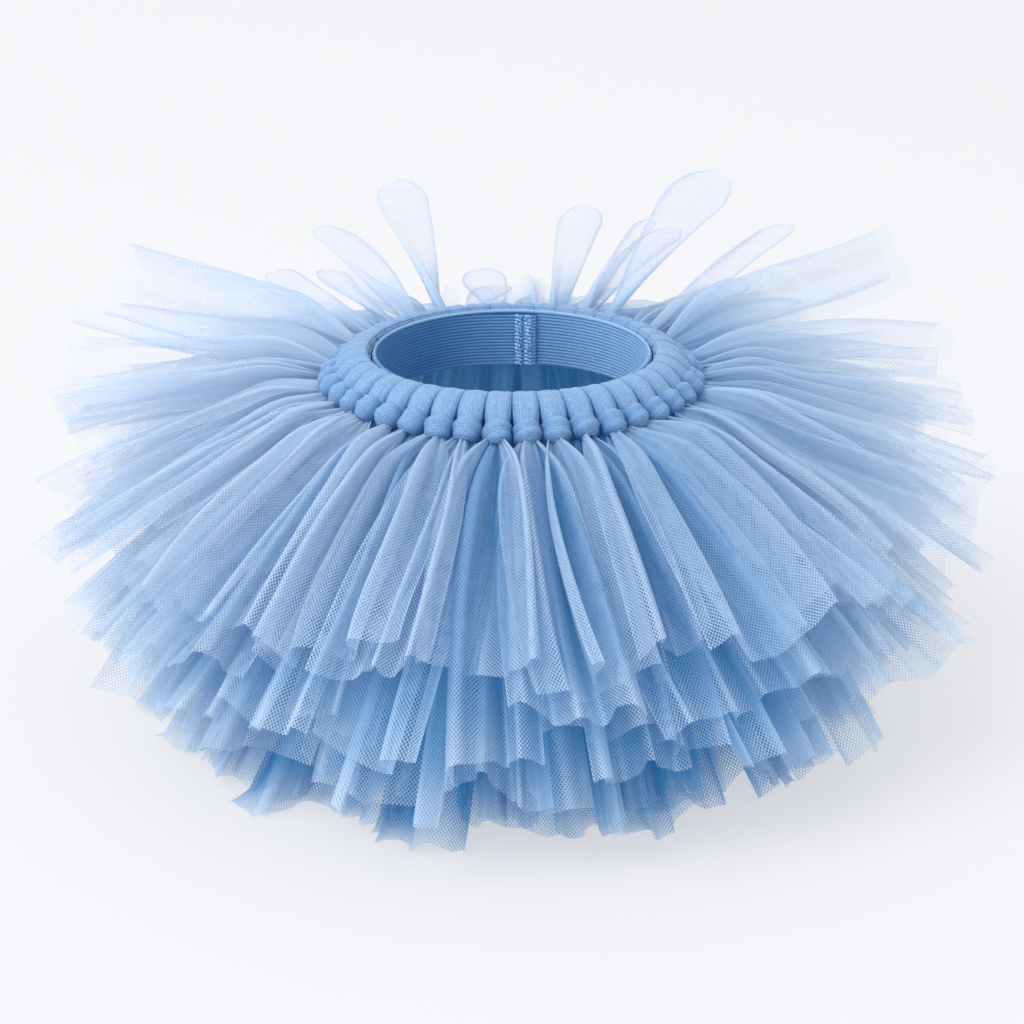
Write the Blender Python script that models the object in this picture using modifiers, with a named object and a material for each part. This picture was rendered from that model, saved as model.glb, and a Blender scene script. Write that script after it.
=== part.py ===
"""A baby's tulle tutu that stands by itself: an elastic waistband and forty tied strips of tulle.

Each strip wraps over the band, is drawn into a knot and ends in an upper tail. The other tails of
the same strips hang below as a middle and a low layer, each in eight pleated stretches, and the
low layer stands on the floor. Sizes are in millimetres and degrees. +Z is up, the front is -Y,
and a turn is counted from the front towards +X.
"""

import math

import bpy
from mathutils import Vector

MM = 0.001
GAP = 0.35

WAIST_TOP = 150.0
WAIST_HALF_WIDTH = 58.0
WAIST_DEPTH_RATIO = 0.9
ELASTIC_HEIGHT = 25.0
ELASTIC_THICKNESS = 1.5
ELASTIC_LIP_HEIGHT = 1.8
ELASTIC_LIP_DEPTH = 0.35
ELASTIC_STEPS = 80
OVERLAP_FROM = -0.5
OVERLAP_TO = 9.8
OVERLAP_THICKNESS = 1.3

STRIPS = 40
PITCH = 360.0 / STRIPS
KNOT_HALF_WIDTH = 76.5
KNOT_HALF_DEPTH = 73.0
KNOT_DROP = 10.0
KNOT_RADIUS = 5.3
WALL = 1.4

# A row for each section of a strip from the elastic to the neck below its knot: the share of the
# way from elastic to knots, outward shift, drop below the waist's top, half height, half width as
# a share of half the pitch.
TIED_SECTIONS = (
    ("at_elastic", 0.0, GAP, 3.8, 3.2, 1.0),
    ("roll", 0.36, 0.0, 4.3, 4.3, 1.0),
    ("throat", 0.7, 0.0, 7.5, 3.2, 0.62),
    ("knot_inner", 1.0, -3.8, 9.8, 4.2, 0.84),
    ("knot_middle", 1.0, 0.0, KNOT_DROP, KNOT_RADIUS, 1.0),
    ("knot_outer", 1.0, 3.8, 10.4, 4.0, 0.84),
    ("neck", 1.0, 6.6, 11.7, 1.9, 0.5),
)
# A section's height at its edge, its quarter and its middle, as shares of the half height.
ROUNDING = (0.42, 0.88, 1.0, 0.88, 0.42)
ACROSS = (-1.0, -0.5, 0.0, 0.5, 1.0)

# A row for each section of an upper tail: share of its length, half width share when cut square,
# half width share when folded to a round loop, share of the fold depth.
TAIL_SECTIONS = (
    ("root", 0.14, 0.72, 0.6, 0.25),
    ("lower", 0.42, 0.92, 0.74, 0.7),
    ("upper", 0.74, 1.0, 0.8, 1.0),
    ("end", 1.0, 1.0, 0.34, 1.0),
)
FOLD_DEPTH = 3.2
LOOP_FOLD_DEPTH = 1.0

# Upper tails: turn from the front, droop below level, length from the knot.
UPPER_TAILS = (
    (0.0, 29.0, 120.0),
    (45.0, 26.0, 116.0),
    (70.0, 24.0, 114.0),
    (85.0, 17.0, 128.0),
    (100.0, 8.0, 136.0),
    (115.0, -2.0, 134.0),
    (135.0, 1.0, 114.0),
    (160.0, -1.0, 92.0),
    (180.0, 1.0, 90.0),
)
# Tails that stand up behind the waist: turn, rise above level, length, whether folded to a loop.
RAISED_TAILS = (
    (-175.5, 12.0, 52.0, True),
    (-157.5, 19.0, 110.0, True),
    (-148.5, 11.0, 102.0, True),
    (-139.5, 4.0, 102.0, True),
    (-121.5, 5.0, 134.0, False),
    (121.5, 10.0, 132.0, False),
    (130.5, 15.0, 110.0, True),
    (148.5, 22.0, 112.0, True),
    (157.5, 16.0, 98.0, True),
    (166.5, 20.0, 94.0, True),
)

# The layers below start under the knots, one against the other.
MIDDLE_ROOT = WAIST_TOP - KNOT_DROP - KNOT_RADIUS - GAP - WALL / 2
LOW_ROOT = MIDDLE_ROOT - GAP - WALL
STRETCHES = 8
TAILS_A_STRETCH = STRIPS // STRETCHES
COLUMNS_A_TAIL = 3
# Middle layer: turn from the front, droop, length from the root.
MIDDLE_TAILS = (
    (0.0, 37.5, 150.0),
    (50.0, 35.5, 152.0),
    (75.0, 28.0, 146.0),
    (95.0, 25.0, 144.0),
    (130.0, 19.0, 138.0),
    (180.0, 17.0, 126.0),
)
MIDDLE_FOLD_DEPTH = 3.6
# Low layer: turn from the front, how far out from the knots its hem stands.
LOW_HEM_REACH = (
    (0.0, 93.0),
    (60.0, 90.0),
    (120.0, 84.0),
    (180.0, 80.0),
)
LOW_FOLD_DEPTH = 3.4
LIFTED_HEM = 9.0
# A layer's sections: share of the way from root to hem, share of the fold depth.
LAYER_SECTIONS = (
    ("root", 0.0, 0.0),
    ("upper", 0.22, 0.45),
    ("lower", 0.6, 0.85),
    ("hem", 1.0, 1.0),
)

TULLE_COLOUR = (0.40, 0.58, 0.80, 1.0)
TULLE_SHADE_COLOUR = (0.28, 0.48, 0.74, 1.0)
ELASTIC_COLOUR = (0.17, 0.37, 0.66, 1.0)


def new_collection(name):
    collection = bpy.data.collections.new(name)
    bpy.context.scene.collection.children.link(collection)
    return collection


def new_material(name, colour, roughness):
    material = bpy.data.materials.new(name)
    material.use_nodes = True
    shader = material.node_tree.nodes["Principled BSDF"]
    shader.inputs["Base Color"].default_value = colour
    shader.inputs["Roughness"].default_value = roughness
    shader.inputs["Metallic"].default_value = 0.0
    return material


def interpolate(rows, turn):
    """The other columns of a table whose first column is the turn from the front, either way."""
    turn = abs(turn)
    for low, high in zip(rows, rows[1:]):
        if turn <= high[0]:
            share = (turn - low[0]) / (high[0] - low[0])
            return [a + (b - a) * share for a, b in zip(low[1:], high[1:])]
    return list(rows[-1][1:])


def outward(turn):
    angle = math.radians(turn)
    return Vector((math.sin(angle), -math.cos(angle), 0.0))


def on_elastic(turn, inset=0.0):
    """A point on the elastic's outer face, or inset from it."""
    half_width = WAIST_HALF_WIDTH + ELASTIC_THICKNESS
    direction = outward(turn)
    ring = Vector((half_width * direction.x, half_width * WAIST_DEPTH_RATIO * direction.y, 0.0))
    return ring - direction * inset


def on_knots(turn):
    direction = outward(turn)
    return Vector((KNOT_HALF_WIDTH * direction.x, KNOT_HALF_DEPTH * direction.y, 0.0))


def place(turn, share, out, height):
    """A point at this turn, from the elastic (share 0) to the knots (share 1) and further out."""
    plan = on_elastic(turn).lerp(on_knots(turn), share) + outward(turn) * out
    return Vector((plan.x, plan.y, height))


def side_turn(middle, half_turn, across, radius):
    """The turn of a column, with half the gap between pieces kept clear at both sides."""
    clear = math.degrees(GAP / 2 / radius)
    return middle + across * (half_turn - clear)


def solid_between(name, outer, inner, smooth_rows=0):
    """A closed wall between two equal grids of points, each a list of rows."""
    rows = len(outer)
    columns = len(outer[0])
    points = [point * MM for grid in (outer, inner) for row in grid for point in row]

    def at(face, row, column):
        return (face * rows + row) * columns + column

    triangles = []

    def add_quad(a, b, c, d):
        triangles.append((a, b, c))
        triangles.append((a, c, d))

    for row in range(rows - 1):
        for column in range(columns - 1):
            corners = ((row, column), (row, column + 1), (row + 1, column + 1), (row + 1, column))
            a, b, c, d = (at(0, *corner) for corner in corners)
            triangles.extend(((a, c, b), (a, d, c)))
            a, b, c, d = (at(1, *corner) for corner in corners)
            triangles.extend(((a, b, c), (a, c, d)))
    for row in range(rows - 1):
        last = columns - 1
        add_quad(at(0, row, 0), at(1, row, 0), at(1, row + 1, 0), at(0, row + 1, 0))
        add_quad(at(1, row, last), at(0, row, last), at(0, row + 1, last), at(1, row + 1, last))
    for column in range(columns - 1):
        last = rows - 1
        add_quad(at(1, 0, column), at(0, 0, column), at(0, 0, column + 1), at(1, 0, column + 1))
        add_quad(
            at(0, last, column), at(1, last, column), at(1, last, column + 1), at(0, last, column + 1)
        )
    mesh = bpy.data.meshes.new(name)
    mesh.from_pydata(points, [], triangles)
    for polygon in mesh.polygons:
        rows_met = [vertex % (rows * columns) // columns for vertex in polygon.vertices]
        polygon.use_smooth = max(rows_met) < smooth_rows
    return bpy.data.objects.new(name, mesh)


def tail_shape(turn, number):
    """Droop, length and whether it is a loop, for one strip's upper tail."""
    for raised_turn, rise, length, looped in RAISED_TAILS:
        if abs(raised_turn - turn) < PITCH / 4:
            return -rise, length, looped
    droop, length = interpolate(UPPER_TAILS, turn)
    return droop + 2.5 * math.sin(2.7 * number), length + 6.0 * math.sin(1.9 * number), False


def strip(number):
    """One tied strip: its wrap over the roll, its knot and its upper tail."""
    turn = (number + 0.5) * PITCH - 180.0
    half_turn = PITCH / 2
    outer = []
    inner = []
    for _, share, out, drop, half_height, width in TIED_SECTIONS:
        radius = place(turn, share, out, 0.0).length
        columns = [side_turn(turn, half_turn, across * width, radius) for across in ACROSS]
        height = WAIST_TOP - drop
        outer.append(
            [place(t, share, out, height + half_height * r) for t, r in zip(columns, ROUNDING)]
        )
        inner.append(
            [place(t, share, out, height - half_height * r) for t, r in zip(columns, ROUNDING)]
        )

    droop, length, looped = tail_shape(turn, number)
    slope = math.radians(droop)
    fold = LOOP_FOLD_DEPTH if looped else FOLD_DEPTH
    start_out = TIED_SECTIONS[-1][2]
    start_height = WAIST_TOP - TIED_SECTIONS[-1][3]
    for _, along, square_width, loop_width, fold_share in TAIL_SECTIONS:
        out = start_out + (length - start_out) * along * math.cos(slope)
        height = start_height - (length - start_out) * along * math.sin(slope)
        width = loop_width if looped else square_width
        radius = place(turn, 1.0, out, 0.0).length
        outer_row = []
        inner_row = []
        for index, across in enumerate(ACROSS):
            side = 1 if (index + number) % 2 else -1
            shift = side * fold * fold_share
            column = side_turn(turn, half_turn, across * width, radius)
            for row, away in ((outer_row, shift + WALL / 2), (inner_row, shift - WALL / 2)):
                row.append(
                    place(column, 1.0, out + away * math.sin(slope), height + away * math.cos(slope))
                )
        outer.append(outer_row)
        inner.append(inner_row)
    return solid_between(f"strip_{number + 1:02d}", outer, inner, len(TIED_SECTIONS))


def layer_columns(stretch):
    """(across, tail number, fold side) for each column of one stretch of a layer."""
    count = TAILS_A_STRETCH * COLUMNS_A_TAIL
    columns = []
    for index in range(count + 1):
        tail = min(index // COLUMNS_A_TAIL, TAILS_A_STRETCH - 1) + stretch * TAILS_A_STRETCH
        columns.append((2.0 * index / count - 1.0, tail, 1 if index % 2 else -1))
    return columns


def layer_stretch(name, stretch, root_height, fold_depth, shape):
    """One pleated stretch of a layer. shape gives the reach outward and the fall at its hem."""
    half_turn = 180.0 / STRETCHES
    middle = (2 * stretch + 1) * half_turn - 180.0
    outer = []
    inner = []
    for _, along, fold_share in LAYER_SECTIONS:
        outer_row = []
        inner_row = []
        for across, tail, side in layer_columns(stretch):
            reach, fall = shape(middle + across * half_turn, tail)
            out = reach * along
            radius = place(middle, 1.0, out, 0.0).length
            column = side_turn(middle, half_turn, across, radius)
            steep = math.atan2(fall, reach)
            shift = side * fold_depth * fold_share
            near_floor = root_height - fall < 2 * LIFTED_HEM
            if along == 1.0 and near_floor:
                # The cut edge lies level, on the floor or just above it.
                fold_up, wall_out, wall_up = 0.0, WALL / 2 / math.sin(steep), 0.0
            elif along == 0.0:
                fold_up, wall_out, wall_up = 0.0, 0.0, WALL / 2
            else:
                fold_up = shift * math.cos(steep)
                wall_out, wall_up = WALL / 2 * math.sin(steep), WALL / 2 * math.cos(steep)
            fold_out = out + shift * math.sin(steep)
            height = root_height - fall * along + fold_up
            outer_row.append(place(column, 1.0, fold_out + wall_out, height + wall_up))
            inner_row.append(place(column, 1.0, fold_out - wall_out, height - wall_up))
        outer.append(outer_row)
        inner.append(inner_row)
    return solid_between(f"{name}_{stretch + 1}", outer, inner)


def middle_shape(turn, tail):
    """Where the middle layer's hem lies at this turn, as reach outward and fall."""
    droop, length = interpolate(MIDDLE_TAILS, turn)
    slope = math.radians(droop + 3.0 * math.sin(2.3 * tail))
    length += 7.0 * math.sin(1.7 * tail + 1.0)
    return length * math.cos(slope), length * math.sin(slope)


def low_shape(turn, tail):
    """Where the low layer's hem lies: on the floor, apart from every third tail."""
    (reach,) = interpolate(LOW_HEM_REACH, turn)
    lift = LIFTED_HEM if tail % 3 == 1 else 0.0
    return reach + 4.0 * math.sin(2.1 * tail), LOW_ROOT - lift


def elastic_band():
    """The ribbed elastic ring with the lip along its top edge, turned and then drawn oval."""
    inside = WAIST_HALF_WIDTH
    outside = WAIST_HALF_WIDTH + ELASTIC_THICKNESS
    bottom = WAIST_TOP - ELASTIC_HEIGHT
    lip = WAIST_TOP - ELASTIC_LIP_HEIGHT
    profile = (
        (outside, WAIST_TOP),
        (outside, bottom),
        (inside, bottom),
        (inside, lip),
        (inside - ELASTIC_LIP_DEPTH, lip),
        (inside - ELASTIC_LIP_DEPTH, WAIST_TOP),
    )
    mesh = bpy.data.meshes.new("elastic_band")
    edges = [(index, (index + 1) % len(profile)) for index in range(len(profile))]
    mesh.from_pydata([(x * MM, 0.0, z * MM) for x, z in profile], edges, [])
    band = bpy.data.objects.new("elastic_band", mesh)
    band.scale.y = WAIST_DEPTH_RATIO
    screw = band.modifiers.new("turn", "SCREW")
    screw.steps = ELASTIC_STEPS
    screw.render_steps = ELASTIC_STEPS
    screw.use_merge_vertices = True
    screw.merge_threshold = 0.00001
    screw.use_smooth_shade = False
    return band


def elastic_overlap():
    """The elastic's end, lapped over the inside of the band at the back and sewn down."""
    near = ELASTIC_THICKNESS + ELASTIC_LIP_DEPTH + GAP
    back_depth = WAIST_HALF_WIDTH * WAIST_DEPTH_RATIO
    columns = 5
    heights = (WAIST_TOP - 0.4, WAIST_TOP - ELASTIC_HEIGHT + 0.4)
    outer = []
    inner = []
    for height in heights:
        outer_row = []
        inner_row = []
        for index in range(columns):
            across = OVERLAP_TO + (OVERLAP_FROM - OVERLAP_TO) * index / (columns - 1)
            turn = 180.0 - math.degrees(math.asin(across / WAIST_HALF_WIDTH))
            plan = on_elastic(turn, near)
            outer_row.append(Vector((plan.x, plan.y, height)))
            thick = plan * (1.0 - OVERLAP_THICKNESS / back_depth)
            inner_row.append(Vector((thick.x, thick.y, height)))
        outer.append(outer_row)
        inner.append(inner_row)
    return solid_between("elastic_overlap", outer, inner)


def build():
    for obj in list(bpy.data.objects):
        bpy.data.objects.remove(obj)
    tutu = new_collection("tutu")
    tulle = new_material("tulle", TULLE_COLOUR, 0.8)
    shaded_tulle = new_material("tulle_lower_layers", TULLE_SHADE_COLOUR, 0.8)
    elastic = new_material("elastic", ELASTIC_COLOUR, 0.7)

    pieces = [(elastic_band(), elastic), (elastic_overlap(), elastic)]
    pieces += [(strip(number), tulle) for number in range(STRIPS)]
    for stretch in range(STRETCHES):
        middle = layer_stretch("middle_tails", stretch, MIDDLE_ROOT, MIDDLE_FOLD_DEPTH, middle_shape)
        low = layer_stretch("low_tails", stretch, LOW_ROOT, LOW_FOLD_DEPTH, low_shape)
        pieces += [(middle, shaded_tulle), (low, shaded_tulle)]
    for obj, material in pieces:
        obj.data.materials.append(material)
        tutu.objects.link(obj)


if __name__ == "__main__":
    build()
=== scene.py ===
"""Looks of a baby's tulle tutu: net tails in four layers, knots, a padded roll and the elastic.

The cloth stands on the forms of the CAD solids. Sizes are in millimetres and degrees unless a
name says otherwise, and a turn is counted from the front towards +X.
"""

import math

import bmesh
import bpy
import numpy as np
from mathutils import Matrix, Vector


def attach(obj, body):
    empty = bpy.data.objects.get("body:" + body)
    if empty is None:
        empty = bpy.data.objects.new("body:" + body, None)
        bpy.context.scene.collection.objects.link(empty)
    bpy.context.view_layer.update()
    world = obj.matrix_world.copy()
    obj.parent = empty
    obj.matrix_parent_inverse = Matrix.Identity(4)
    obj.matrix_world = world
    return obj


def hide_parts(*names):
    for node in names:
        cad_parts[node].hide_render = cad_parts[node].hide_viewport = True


bl_info = {
    "name": "Tulle Tutu",
    "version": (1, 0, 0),
    "blender": (4, 5, 0),
    "location": "View3D > Sidebar > Tutu",
    "description": "Builds the net, the knots and the elastic of a tied tulle tutu",
    "category": "Object",
}

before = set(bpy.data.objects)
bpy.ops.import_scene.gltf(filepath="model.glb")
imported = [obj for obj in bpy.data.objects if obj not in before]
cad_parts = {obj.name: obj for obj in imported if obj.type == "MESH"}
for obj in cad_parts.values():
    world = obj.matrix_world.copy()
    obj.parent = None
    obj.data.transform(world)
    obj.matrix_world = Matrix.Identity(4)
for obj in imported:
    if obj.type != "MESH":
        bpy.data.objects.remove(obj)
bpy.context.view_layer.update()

# In metres.
MM = 0.001
WELD_DISTANCE = 0.000001

# The elastic ring and the ring of knots, as in the CAD, except that the elastic is a little deeper
# here and rises towards the back, by WAIST_TILT for each unit of depth.
WAIST_TOP = 150.0
WAIST_HALF_WIDTH = 58.0
WAIST_DEPTH_RATIO = 0.93
WAIST_TILT = 0.026
ELASTIC_HEIGHT = 25.0
ELASTIC_THICKNESS = 1.5
STRIPS = 40
PITCH = 360.0 / STRIPS
KNOT_HALF_WIDTH = 76.5
KNOT_HALF_DEPTH = 73.0
KNOT_DROP = 10.0

# Upper tails: turn from the front, droop at the root and at the end, length from the knot.
UPPER_TAILS = (
    (0.0, 20.0, 37.0, 118.0),
    (45.0, 18.0, 34.0, 114.0),
    (70.0, 17.0, 31.0, 114.0),
    (85.0, 14.0, 27.0, 123.0),
    (100.0, 5.0, 17.0, 128.0),
    (115.0, -5.0, 4.0, 131.0),
    (135.0, -4.0, 8.0, 112.0),
    (160.0, -4.0, 6.0, 90.0),
    (180.0, -2.0, 6.0, 88.0),
)
# Tails folded back into loops behind the waist: turn of the knot, turn of the tip, rise, length,
# half width at the widest, twist at the root.
LOOPS = (
    (-175.5, -172.5, 12.0, 48.0, 10.0, 70.0),
    (-166.5, -178.0, 3.0, 44.0, 9.0, -60.0),
    (-157.5, -161.9, 22.4, 109.0, 12.5, 100.0),
    (-148.5, -149.8, 12.5, 104.0, 10.5, -95.0),
    (-139.5, -148.0, 3.0, 88.0, 9.0, 80.0),
    (-130.5, -141.0, 2.3, 102.0, 8.5, -70.0),
    (130.5, 135.5, 15.5, 110.0, 9.5, 90.0),
    (130.5, 139.4, 2.6, 88.0, 8.5, 60.0),
    (148.5, 147.1, 26.2, 113.0, 15.0, -75.0),
    (157.5, 151.5, 16.5, 88.0, 8.0, 90.0),
    (157.5, 156.5, 17.6, 90.0, 6.0, -110.0),
    (166.5, 167.7, 20.0, 92.0, 10.5, 70.0),
)
# Square-cut tails that stand up at the back corners: turn, turn at the end, rise, length, twist.
RAISED_TAILS = (
    (-121.5, -120.5, 5.0, 130.0, 8.0),
    (121.5, 122.2, 9.0, 130.0, -8.0),
)
# Layers below: turn from the front, droop at the root and at the end, length.
OVER_TAILS = (
    (0.0, 28.0, 40.0, 142.0),
    (50.0, 26.0, 37.0, 138.0),
    (75.0, 18.0, 30.0, 126.0),
    (95.0, 10.0, 24.0, 120.0),
    (130.0, 4.0, 14.0, 112.0),
    (180.0, 4.0, 12.0, 104.0),
)
MIDDLE_TAILS = (
    (0.0, 40.0, 48.0, 150.0),
    (50.0, 36.0, 47.0, 153.0),
    (75.0, 31.0, 43.0, 146.0),
    (95.0, 26.0, 37.0, 146.0),
    (130.0, 18.0, 26.0, 136.0),
    (180.0, 16.0, 24.0, 126.0),
)
LOW_TAILS = (
    (0.0, 62.0, 50.0, 160.0),
    (60.0, 62.0, 50.0, 158.0),
    (120.0, 64.0, 54.0, 154.0),
    (180.0, 66.0, 56.0, 152.0),
)
# One row for each layer: table, folds in a tail, swing of the folds at the end, how far out from
# the knots and how far below the waist's top its tails start, scatter of the droop, share of the
# width at the root, and the layer's painted shade, darker for the deeper layers.
LAYERS = {
    "upper": (UPPER_TAILS, (1.3, 2.3), (0.85, 1.25), 3.4, 13.0, 3.0, 0.27, 0.0),
    "over": (OVER_TAILS, (1.5, 2.6), (0.85, 1.25), 2.0, 14.8, 4.0, 0.34, 0.34),
    "middle": (MIDDLE_TAILS, (1.5, 2.6), (0.85, 1.25), 0.0, 16.0, 4.0, 0.5, 0.5),
    "low": (LOW_TAILS, (1.6, 2.8), (0.85, 1.2), -3.0, 18.5, 3.0, 0.7, 0.85),
}
# One row for each layer under the upper one: name, nodes that it stands for, length of its cut
# in metres, and how much smaller its holes are between the root and the end.
LOWER_LAYERS = (
    ("over", "middle", 0.125, 0.0),
    ("middle", "middle", 0.150, 0.3),
    ("low", "low", 0.150, 0.9),
)
CUT_WIDTH = 75.0

# A pleat's steepest slope at its root, in radians, and a selvage's width as a share of the cut.
ROOT_SWING = 1.5
SELVAGE = 0.014
# Rise of a tail just outside its knot, and the share of its length that the rise takes.
PUFF_RISE = 2.6
PUFF_SHARE = 0.42
# Tails turned further than this hang free and look sheer, with more open holes and painted light
# from behind, wholly so this much further round.
SHEER_FROM = 35.0
SHEER_WITHIN = 45.0
# A tail hangs clear of the layers beside it from this share of its length on, and wholly so after
# this further share; its painted shade fades there.
END_FROM = 0.82
END_WITHIN = 0.15
# A layer with painted shade over this one also shows inside the waist, where more light falls on
# it, so its roots get painted light there.
INNER_LIGHT_FROM_SHADE = 0.8
# Points of the lower tails that would go under the floor come up to this height, less a small
# share of how far under they are.
FLOOR_LIFT = 0.6
FLOOR_SLOPE = 0.03
# How unevenly the tails are cut and tied: length, how much shorter those past SHORTER_FROM may
# be, turn, twist, sideways bend and the slant of the cut as a share of the length.
LENGTH_SCATTER = (-12.0, 9.0)
SHORTER_FROM = 50.0
SHORTER = 14.0
TURN_SCATTER = 1.6
TWIST_SCATTER = 42.0
BEND_SCATTER = 8.0
SLANT_SCATTER = 0.07
# What each builder adds to the seed.
RAISED_SEED = 5
LOWER_SEED = 20
TIES_SEED = 50

# A net's diamond hole: its width and length along the strip.
NET_PITCH = (1.5, 1.9)

# Points across and along a tail.
COLUMNS = 73
ROWS = 19

# Bump of the fine threads, in metres, and pitch of the threads in the roll and the knots.
THREAD_BUMP = 0.00022
BUNDLE_PITCH = 0.75

# The camera's distance and the height it looks at, in metres, and its elevation.
CAMERA_DISTANCE = 1.10
CAMERA_ELEVATION = 21.5
CAMERA_TARGET_HEIGHT = 0.0762
FOCAL_PIXELS = 2520.0
IMAGE_PIXELS = 1024.0
SENSOR_WIDTH = 36.0
# The key light's place, aim and size, and half the floor's width, in metres.
KEY_PLACE = (-2.3, -1.4, 3.1)
KEY_AIM = (0.0, 0.0, 0.08)
KEY_SIZE = 2.2
KEY_COLOUR = (1.0, 0.985, 0.96)
SKY_COLOUR = (0.955, 0.965, 1.0, 1.0)
FLOOR_REACH = 12.0
FLOOR_CORNERS = ((-1.0, -1.0), (1.0, -1.0), (1.0, 1.0), (-1.0, 1.0))
FLOOR_GLOW_COLOUR = (0.94, 0.945, 0.96, 1.0)


class Value:
    """A socket that can be added, multiplied and so on in plain Python."""

    def __init__(self, tree, socket):
        self.tree = tree
        self.socket = socket

    def math(self, operation, *others):
        return self.tree.math(operation, self, *others)

    def __add__(self, other):
        return self.math("ADD", other)

    def __rsub__(self, other):
        return self.tree.math("SUBTRACT", other, self)

    def __mul__(self, other):
        return self.math("MULTIPLY", other)

    __rmul__ = __mul__


class Tree:
    """Builds shader nodes from plain calls."""

    def __init__(self, material):
        material.use_nodes = True
        self.nodes = material.node_tree.nodes
        self.links = material.node_tree.links
        self.nodes.clear()

    def put(self, value, socket):
        """Links a Value to a socket, or sets the socket to a plain value."""
        if isinstance(value, Value):
            self.links.new(value.socket, socket)
        else:
            socket.default_value = value

    def node(self, kind, inputs=(), output=0, **settings):
        """One output of a new node. inputs go by place or, in a dict, by name."""
        made = self.nodes.new(kind)
        for key, value in settings.items():
            setattr(made, key, value)
        pairs = inputs.items() if isinstance(inputs, dict) else enumerate(inputs)
        for key, value in pairs:
            self.put(value, made.inputs[key])
        return Value(self, made.outputs[output])

    def math(self, operation, *values):
        return self.node("ShaderNodeMath", values, operation=operation)

    def vector(self, operation, *values):
        return self.node("ShaderNodeVectorMath", values, operation=operation)

    def ramp(self, value, low, high):
        """A smooth step from 0 at low to 1 at high."""
        return self.node("ShaderNodeMapRange", (value, low, high), interpolation_type="SMOOTHSTEP")

    def attribute(self, name):
        return self.node("ShaderNodeAttribute", output="Fac", attribute_name=name)

    def noise(self, place_in, scale):
        inputs = {"Vector": place_in, "Scale": scale, "Detail": 2.0}
        return self.node("ShaderNodeTexNoise", inputs)

    def bump(self, height, distance, strength=1.0):
        inputs = {"Height": height, "Distance": distance, "Strength": strength}
        return self.node("ShaderNodeBump", inputs)

    def split(self, vector):
        """The first two parts of a vector."""
        made = self.nodes.new("ShaderNodeSeparateXYZ")
        self.put(vector, made.inputs[0])
        return Value(self, made.outputs[0]), Value(self, made.outputs[1])

    def mix(self, share, first, second):
        made = self.nodes.new("ShaderNodeMix")
        made.data_type = "RGBA"
        self.put(share, made.inputs["Factor"])
        self.put(first, made.inputs[6])
        self.put(second, made.inputs[7])
        return Value(self, made.outputs[2])

    def principled(self, **inputs):
        """A principled shader, whose inputs are named as in Blender with _ for each space."""
        named = {name.replace("_", " "): value for name, value in inputs.items()}
        return self.node("ShaderNodeBsdfPrincipled", named)

    def finish(self, surface):
        output = self.nodes.new("ShaderNodeOutputMaterial")
        self.links.new(surface.socket, output.inputs["Surface"])


def ring(turn, half_width, half_depth):
    """Points of an ellipse round the waist, at a turn from the front."""
    angle = np.radians(turn)
    return np.stack((half_width * np.sin(angle), -half_depth * np.cos(angle)), axis=-1)


def place(turn, share, out, height):
    """Points from the elastic (share 0) to the knots (share 1) and further out, in millimetres."""
    turn, share, out, height = np.broadcast_arrays(turn, share, out, height)
    half_width = WAIST_HALF_WIDTH + ELASTIC_THICKNESS
    elastic = ring(turn, half_width, half_width * WAIST_DEPTH_RATIO)
    knots = ring(turn, KNOT_HALF_WIDTH, KNOT_HALF_DEPTH)
    plan = elastic + (knots - elastic) * share[..., None] + ring(turn, 1.0, 1.0) * out[..., None]
    raised = WAIST_TILT * (elastic[..., 1] * (1.0 - share)) + height
    return np.concatenate((plan, raised[..., None]), axis=-1)


def clamped(values):
    """The values, held between 0 and 1."""
    return np.clip(values, 0.0, 1.0)


def turned(side, up, angle):
    """A section's side and height, turned by an angle in radians."""
    return side * np.cos(angle) - up * np.sin(angle), side * np.sin(angle) + up * np.cos(angle)


def any_phase(rng):
    """A wave's random start, in radians."""
    return rng.uniform(0.0, 6.28)


def outward(turn):
    """Level direction away from the waist's middle, at a turn from the front."""
    return np.append(ring(turn, 1.0, 1.0), 0.0)


def run_lengths(points):
    """Length along a line of points from its start to each point."""
    return np.concatenate(([0.0], np.cumsum(np.linalg.norm(np.diff(points, axis=0), axis=-1))))


def at_turn(rows, turn):
    """The other columns of a table whose first column is the turn from the front, either way."""
    table = np.array(rows)
    return [np.interp(abs(turn), table[:, 0], column) for column in table.T[1:]]


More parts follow.
